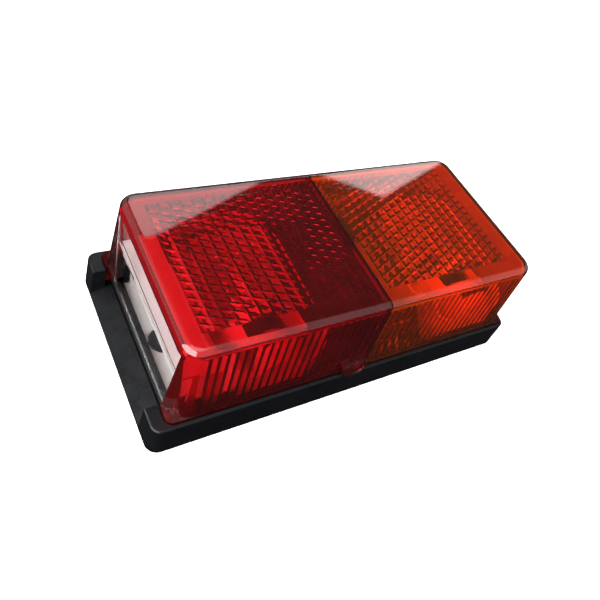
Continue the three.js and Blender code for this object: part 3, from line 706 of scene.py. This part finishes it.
# Soft boxes of the light tent: brightness, and corners as (azimuth, elevation) in degrees, anticlockwise
# as the lamp sees them.
SOFT_BOXES = {
    "back_left": (3.6, [(50, 28), (82, 28), (82, 50), (64.5, 46.3), (50, 36)]),
    "back_right": (4.5, [(35.5, 20), (50, 20), (50, 36.5), (39.3, 35.9), (35.5, 30.5)]),
    "left_key": (12.0, [(152, 4), (240, 4), (240, 60), (152, 60)]),
}
SOFT_BOX_EDGE = 0.008  # the sine of the angle that a soft box fades in over
TENT = {
    "wall": 1.0, "zenith": 4.0, "zenith_cone": (24, 14),  # degrees from the middle to the fade's ends
    "dark": 0.1, "dark_middle": (50, 40), "dark_cone": (42, 28),
    "seen": 0.95,
}
FLOOR = {"seen": 0.9, "seen_glow": 0.1, "through_lens": 0.2, "unseen": 0.01}
CAMERA = {
    "azimuth": -46.99, "elevation": 48.19, "roll": 25.56,  # degrees
    "target": (-15.7 * MM, -8.9 * MM, 25 * MM), "distance": 245.06 * MM,
    "lens_mm": 35.1, "sensor_mm": 36,
}


def add_floor():
    """White where the camera sees it, grey through the lens, and dark to reflections and other light."""
    look = Look("floor")
    path = look.node("ShaderNodeLightPath").outputs
    straight, through = path["Is Camera Ray"], path["Is Transmission Ray"]
    behind_lens = look.blend(through, grey(FLOOR["unseen"]), grey(FLOOR["through_lens"]))
    look.set(Base_Color=look.blend(straight, behind_lens, grey(FLOOR["seen"])), Roughness=0.9)
    look.set(Specular_IOR_Level=0)
    look.set(Emission_Color=grey(1), Emission_Strength=look.remap(straight, 0, FLOOR["seen_glow"]))
    floor = loft("floor", [(outline({"x0": -3, "x1": 3, "y": 3, "r": 0.5}), z) for z in (-0.02, 0.0)])
    floor.data.materials.append(look.material)


def add_world():
    """A light tent: bright overhead, dim towards +X +Y, with soft boxes."""
    world = bpy.data.worlds.new("light_tent")
    world.use_nodes = True
    tree = world.node_tree

    def math(operation, *values):
        node = tree.nodes.new("ShaderNodeMath")
        node.operation = operation
        for value, socket in zip(values, node.inputs):
            if isinstance(value, bpy.types.NodeSocket):
                tree.links.new(value, socket)
            else:
                socket.default_value = value
        return node.outputs[0]

    def facing(axis):
        node = tree.nodes.new("ShaderNodeVectorMath")
        node.operation = "DOT_PRODUCT"
        tree.links.new(view, node.inputs[0])
        node.inputs[1].default_value = axis
        return node.outputs["Value"]

    def step(value, start, end):
        node = tree.nodes.new("ShaderNodeMapRange")
        node.interpolation_type = "SMOOTHSTEP"
        tree.links.new(value, node.inputs["Value"])
        node.inputs["From Min"].default_value = start
        node.inputs["From Max"].default_value = end
        return node.outputs[0]

    def cone(axis, angles):
        """0 outside the first angle from axis, and 1 inside the second."""
        return step(facing(axis), *[cos(radians(angle)) for angle in angles])

    view = tree.nodes.new("ShaderNodeTexCoord").outputs["Generated"]
    dark = cone(direction(*TENT["dark_middle"]), TENT["dark_cone"])
    level = math("MULTIPLY_ADD", dark, TENT["dark"] - TENT["wall"], TENT["wall"])
    overhead = cone(Vector((0, 0, 1)), TENT["zenith_cone"])
    level = math("MULTIPLY_ADD", overhead, math("SUBTRACT", TENT["zenith"], level), level)
    for brightness, corners in SOFT_BOXES.values():
        rays = [direction(*corner) for corner in corners]
        inside = None
        for a, b in zip(rays, rays[1:] + rays[:1]):
            edge = facing(a.cross(b).normalized())
            inside = edge if inside is None else math("MINIMUM", inside, edge)
        level = math("MULTIPLY_ADD", step(inside, 0.0, SOFT_BOX_EDGE), brightness, level)
    camera = tree.nodes.new("ShaderNodeLightPath").outputs["Is Camera Ray"]
    level = math("MULTIPLY_ADD", camera, math("SUBTRACT", TENT["seen"], level), level)
    background = tree.nodes["Background"]
    background.inputs["Color"].default_value = (1, 1, 1, 1)
    tree.links.new(level, background.inputs["Strength"])
    bpy.context.scene.world = world


def add_camera():
    """The camera looks down at the lamp's window end from the front, and leans to the right."""
    azimuth, elevation, roll = (radians(CAMERA[key]) for key in ("azimuth", "elevation", "roll"))
    forward = Vector((-sin(azimuth) * cos(elevation), cos(azimuth) * cos(elevation), -sin(elevation)))
    data = bpy.data.cameras.new("camera")
    data.lens = CAMERA["lens_mm"]
    data.sensor_width = CAMERA["sensor_mm"]
    data.clip_start = 0.01
    camera = bpy.data.objects.new("camera", data)
    bpy.context.scene.collection.objects.link(camera)
    camera.location = Vector(CAMERA["target"]) - forward * CAMERA["distance"]
    camera.rotation_mode = "QUATERNION"
    camera.rotation_quaternion = forward.to_track_quat("-Z", "Y") @ Quaternion((0, 0, 1), roll)
    bpy.context.scene.camera = camera


# ---------------------------------------------------------------- assembly

BAYS = ("tail", "indicator")
lens_halves()
base_housing()
for bay in BAYS:
    bulb_glass(bay)
    contact_spring(bay)
replaced = {"lens_red", "lens_amber", "base_housing"}
replaced |= {f"{bay}_{piece}" for bay in BAYS for piece in ("bulb_glass", "contact_spring")}
for subpart in frame["record"]["subparts"]:
    if subpart["node"] not in replaced:
        dress_cad_node(subpart["node"], subpart["material_slot"])

add_floor()
add_world()
add_camera()
bpy.context.scene.view_settings.view_transform = "Standard"
